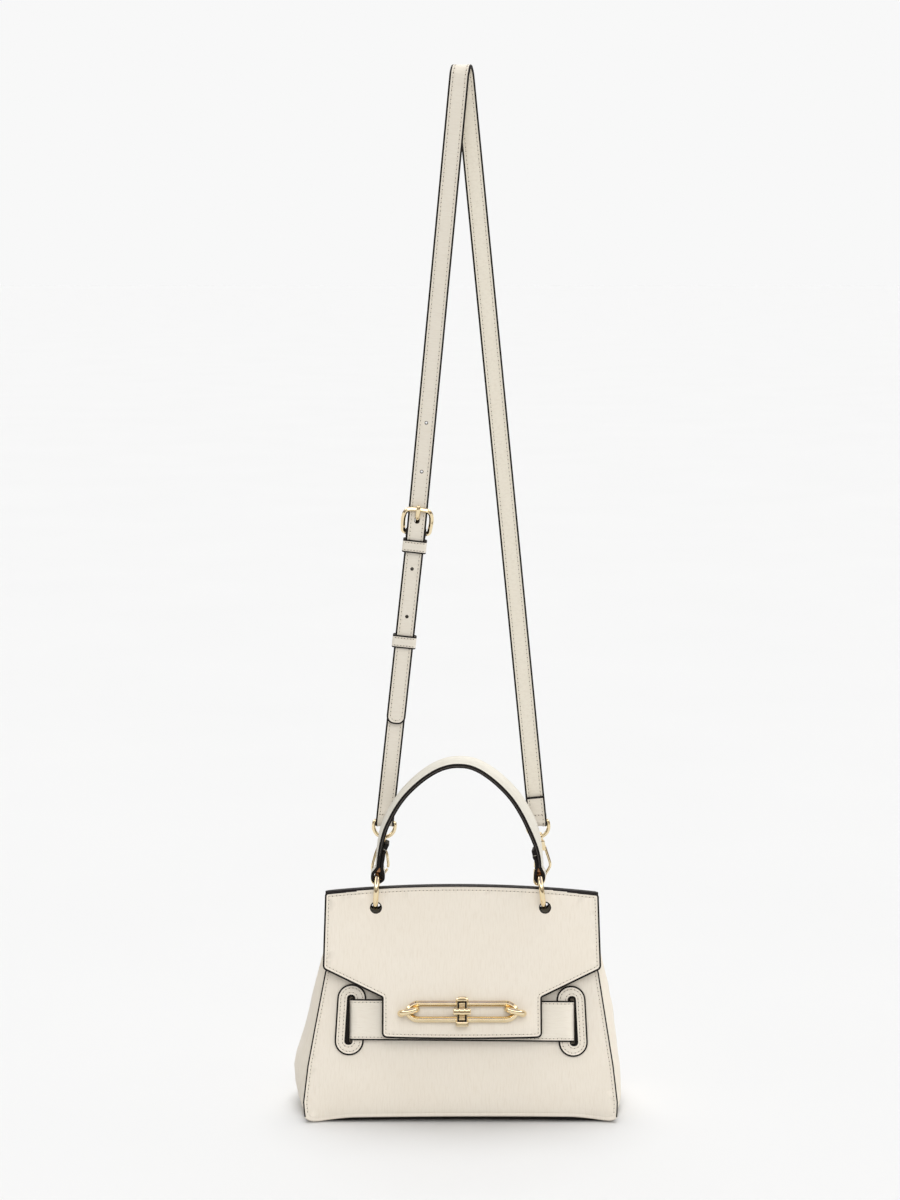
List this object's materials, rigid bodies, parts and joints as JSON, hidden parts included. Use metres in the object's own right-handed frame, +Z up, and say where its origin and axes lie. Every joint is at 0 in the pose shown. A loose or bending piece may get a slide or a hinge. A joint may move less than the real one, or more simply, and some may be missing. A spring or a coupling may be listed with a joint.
{
  "type": "top handle bag",
  "caption": "Small structured cream leather bag with a hinged flap, turn lock on a front belt, ringed top handle and a buckled shoulder strap on swivel hooks.",
  "frame": {"origin": "under the middle of the base, on the surface that it stands on", "axes": "+X to the bag's left as it faces the viewer's right, +Y from front to back, +Z up"},
  "size_m": [0.262, 0.098, 0.8132],
  "materials": {
    "cream_leather": "fine grained cream leather with black painted edges and cream stitching",
    "lining_fabric": "plain woven beige lining",
    "pale_gold": "polished pale gold plating",
    "stiff_board": "plain stiffening board"
  },
  "bodies": {
    "bag": {"front_panel": "cream_leather", "back_panel": "cream_leather", "left_gusset": "cream_leather", "right_gusset": "cream_leather", "base_panel": "cream_leather", "base_board": "stiff_board", "front_lining": "lining_fabric", "back_lining": "lining_fabric", "left_lining": "lining_fabric", "right_lining": "lining_fabric", "flap_top_band": "cream_leather", "front_belt": "cream_leather", "left_slot_patch": "cream_leather", "right_slot_patch": "cream_leather", "lock_base": "pale_gold"},
    "flap": {"flap": "cream_leather", "lock_plate": "pale_gold", "lock_washer": "pale_gold", "oval_link": "pale_gold", "left_link_staple": "pale_gold", "right_link_staple": "pale_gold"},
    "lock_toggle": {"lock_toggle": "pale_gold"},
    "left_ring": {"left_ring": "pale_gold"},
    "right_ring": {"right_ring": "pale_gold"},
    "handle": {"handle": "cream_leather", "left_handle_end": "cream_leather", "right_handle_end": "cream_leather"},
    "strap": {"strap_front_run": "cream_leather", "strap_tail": "cream_leather", "strap_top_fold": "cream_leather", "strap_rear_run": "cream_leather", "strap_rear_end": "cream_leather", "short_strap": "cream_leather", "buckle_frame": "pale_gold", "upper_keeper": "cream_leather", "left_d_eye": "pale_gold", "right_d_eye": "pale_gold"},
    "buckle_prong": {"buckle_prong": "pale_gold"},
    "lower_keeper": {"lower_keeper": "cream_leather"},
    "left_hook": {"left_hook": "pale_gold", "left_gate_pin": "pale_gold"},
    "right_hook": {"right_hook": "pale_gold", "right_gate_pin": "pale_gold"},
    "left_gate": {"left_gate": "pale_gold"},
    "right_gate": {"right_gate": "pale_gold"}
  },
  "joints": [
    {"name": "flap_hinge", "type": "hinge", "parent": "bag", "child": "flap", "pos_m": [0, -0.01221, 0.15204], "axis": [-1, 0, 0], "range_deg": [0, 145]},
    {"name": "lock_turn", "type": "hinge", "parent": "bag", "child": "lock_toggle", "pos_m": [0, -0.03504, 0.08587], "axis": [0, -0.9453, 0.3261], "range_deg": [0, 90]},
    {"name": "left_ring_turn", "type": "hinge", "parent": "bag", "child": "left_ring", "pos_m": [-0.066, 0, 0.174], "axis": [-1, 0, 0], "range_deg": [0, 50]},
    {"name": "right_ring_turn", "type": "hinge", "parent": "bag", "child": "right_ring", "pos_m": [0.066, 0, 0.174], "axis": [-1, 0, 0], "range_deg": [0, 50]},
    {"name": "handle_swing", "type": "hinge", "parent": "bag", "child": "handle", "pos_m": [0, 0, 0.174], "axis": [-1, 0, 0], "range_deg": [-85, 0]},
    {"name": "strap_swing", "type": "hinge", "parent": "left_ring", "child": "strap", "pos_m": [-0.066, 0.01034, 0.18268], "axis": [-1, 0, 0], "range_deg": [0, 48]},
    {"name": "prong_lift", "type": "hinge", "parent": "strap", "child": "buckle_prong", "pos_m": [-0.03595, 0.0145, 0.4575], "axis": [0.9941, 0, -0.1088], "range_deg": [0, 5]},
    {"name": "keeper_slide", "type": "slide", "parent": "strap", "child": "lower_keeper", "axis": [0.1088, 0, 0.9941], "range_m": [-0.045, 0.04]},
    {"name": "left_swivel", "type": "hinge", "parent": "strap", "child": "left_hook", "pos_m": [-0.066, 0.01034, 0.18268], "axis": [0.1074, 0.095, 0.9897], "range_deg": [-15, 3]},
    {"name": "right_swivel", "type": "hinge", "parent": "strap", "child": "right_hook", "pos_m": [0.066, 0.01034, 0.18268], "axis": [-0.1343, 0.0947, 0.9864], "range_deg": [-3, 15]},
    {"name": "left_gate_open", "type": "hinge", "parent": "left_hook", "child": "left_gate", "pos_m": [-0.06158, 0.01247, 0.2049], "axis": [0, 0.9954, -0.0955], "range_deg": [0, 26], "stiffness_Nm_per_rad": 0.02},
    {"name": "right_gate_open", "type": "hinge", "parent": "right_hook", "child": "right_gate", "pos_m": [0.06095, 0.01248, 0.20492], "axis": [0, -0.9954, 0.0955], "range_deg": [0, 26], "stiffness_Nm_per_rad": 0.02}
  ],
  "couplings": [
    {"joint": "right_ring_turn", "follows": "left_ring_turn", "ratio": 1}
  ]
}
